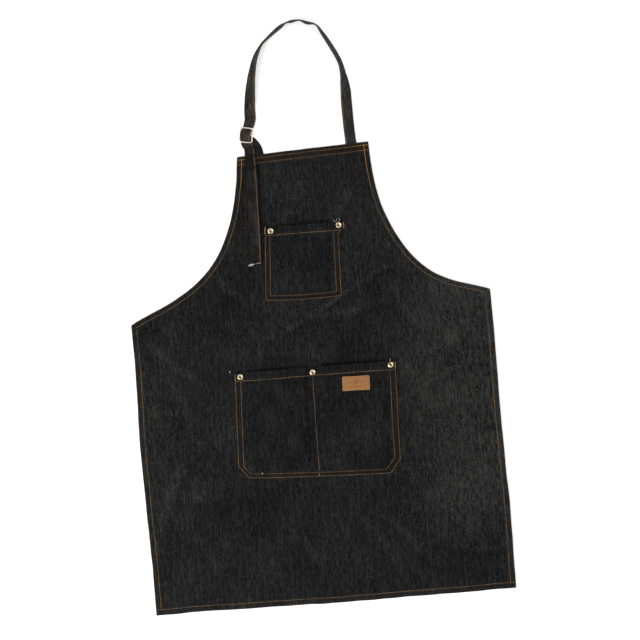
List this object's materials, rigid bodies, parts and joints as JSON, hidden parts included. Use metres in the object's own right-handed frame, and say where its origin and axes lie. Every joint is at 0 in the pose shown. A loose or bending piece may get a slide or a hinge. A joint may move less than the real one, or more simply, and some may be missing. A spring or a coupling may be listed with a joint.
{
  "type": "denim bib apron",
  "caption": "Denim bib apron laid flat, with an adjustable neck loop on a wire slider, a chest pocket, a divided lower pocket, rivets and a leather label.",
  "frame": {"origin": "on the surface it lies on, under the middle of the overall length and width", "axes": "+X to the viewer's right, +Y from the bottom hem to the neck loop, +Z out of the apron's front"},
  "size_m": [0.68, 1.1014, 0.0202],
  "materials": {
    "denim": "black denim twill, worn grey slubs along the length",
    "strap_denim": "black denim twill, folded strip",
    "topstitch_thread": "dull old-gold topstitching thread",
    "rivet_brass": "polished, domed with a dimple",
    "slider_nickel": "polished pale nickel wire with a warm cast",
    "label_leather": "tan, debossed border"
  },
  "bodies": {
    "apron": {"apron_panel": "denim", "chest_pocket": "denim", "lower_pocket": "denim", "leather_label": "label_leather", "strap_sewn_end": "strap_denim", "tab_sewn_end": "strap_denim", "chest_rivet_left_cap": "rivet_brass", "chest_rivet_left_stud": "rivet_brass", "chest_rivet_right_cap": "rivet_brass", "chest_rivet_right_stud": "rivet_brass", "lower_rivet_left_cap": "rivet_brass", "lower_rivet_left_stud": "rivet_brass", "lower_rivet_centre_cap": "rivet_brass", "lower_rivet_centre_stud": "rivet_brass", "lower_rivet_right_cap": "rivet_brass", "lower_rivet_right_stud": "rivet_brass", "bottom_hem_row": "topstitch_thread", "right_side_row": "topstitch_thread", "left_side_row": "topstitch_thread", "right_armhole_row": "topstitch_thread", "left_armhole_row": "topstitch_thread", "bib_lower_row": "topstitch_thread", "bib_upper_row": "topstitch_thread", "chest_pocket_outer_row": "topstitch_thread", "chest_pocket_inner_row": "topstitch_thread", "chest_pocket_mouth_row": "topstitch_thread", "lower_pocket_outer_row": "topstitch_thread", "lower_pocket_inner_row": "topstitch_thread", "lower_pocket_mouth_row": "topstitch_thread", "lower_pocket_divider_row": "topstitch_thread"},
    "neck": {"neck_strap": "strap_denim", "neck_strap_row": "topstitch_thread", "slider_tab": "strap_denim"},
    "slider": {"slider": "slider_nickel"},
    "tail": {"strap_tail": "strap_denim", "strap_tail_row": "topstitch_thread"},
    "tail_end": {"strap_tail_end": "strap_denim", "strap_tail_end_row": "topstitch_thread"}
  },
  "joints": [
    {"name": "neck_fold", "type": "hinge", "parent": "apron", "child": "neck", "pos_m": [0.013, 0.30413, 0.0012], "axis": [0.9994, 0.035, 0], "range_deg": [0, 150], "deforming": ["neck_strap", "neck_strap_row", "slider_tab"]},
    {"name": "slider_tilt", "type": "hinge", "parent": "neck", "child": "slider", "pos_m": [-0.0944, 0.33833, 0.0063], "axis": [0.9848, -0.1736, 0], "range_deg": [-20, 20]},
    {"name": "tail_lift", "type": "hinge", "parent": "apron", "child": "tail", "pos_m": [-0.0917, 0.30023, 0.0039], "axis": [-0.9994, -0.035, 0], "range_deg": [0, 150], "deforming": ["strap_tail", "strap_tail_row"]},
    {"name": "strap_feed", "type": "slide", "parent": "tail", "child": "tail_end", "axis": [-0.032, -0.9995, 0], "range_m": [0, 0.12]}
  ]
}
